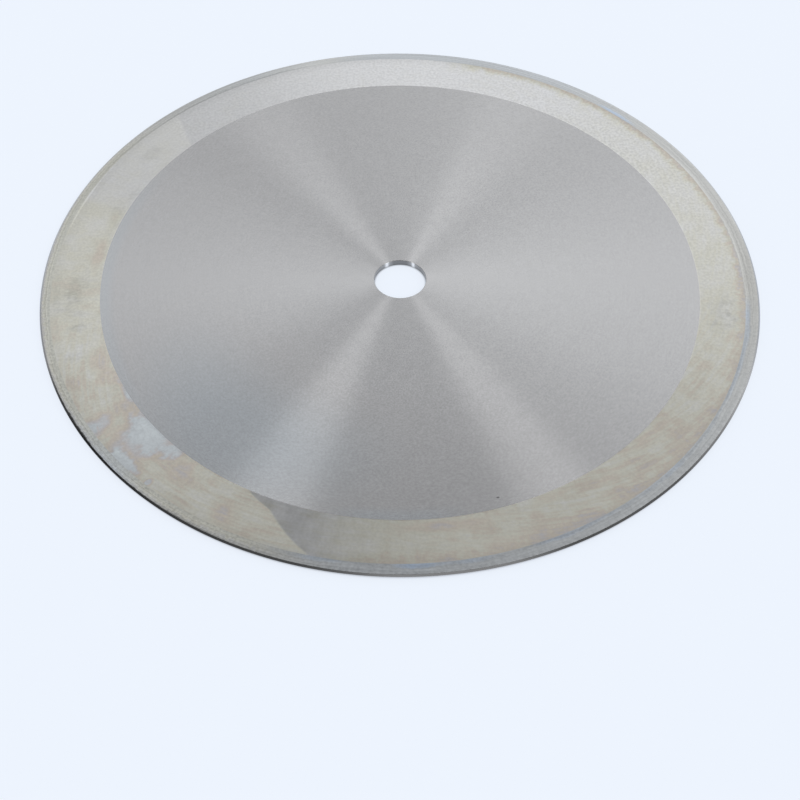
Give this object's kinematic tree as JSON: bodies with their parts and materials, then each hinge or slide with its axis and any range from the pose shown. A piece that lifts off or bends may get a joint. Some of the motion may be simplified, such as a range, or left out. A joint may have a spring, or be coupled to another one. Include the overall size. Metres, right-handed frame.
{
  "type": "circular slitter knife",
  "caption": "Thin round steel slitter knife with a plain central bore, flat ground faces and a tapered rim ground from both sides to a fine cutting edge.",
  "frame": {"origin": "bore axis at the lower flat face, the face that seats against the arbor flange", "axes": "+Z along the bore axis, up from the lower face; X and Y free, because the knife is a body of revolution"},
  "size_m": [0.35, 0.35, 0.003],
  "materials": {
    "ground_steel": "fine circular grind on the faces, heat-tinted straw to blue on the ground rim"
  },
  "bodies": {
    "root": {"knife_blade": "ground_steel"}
  },
  "joints": []
}
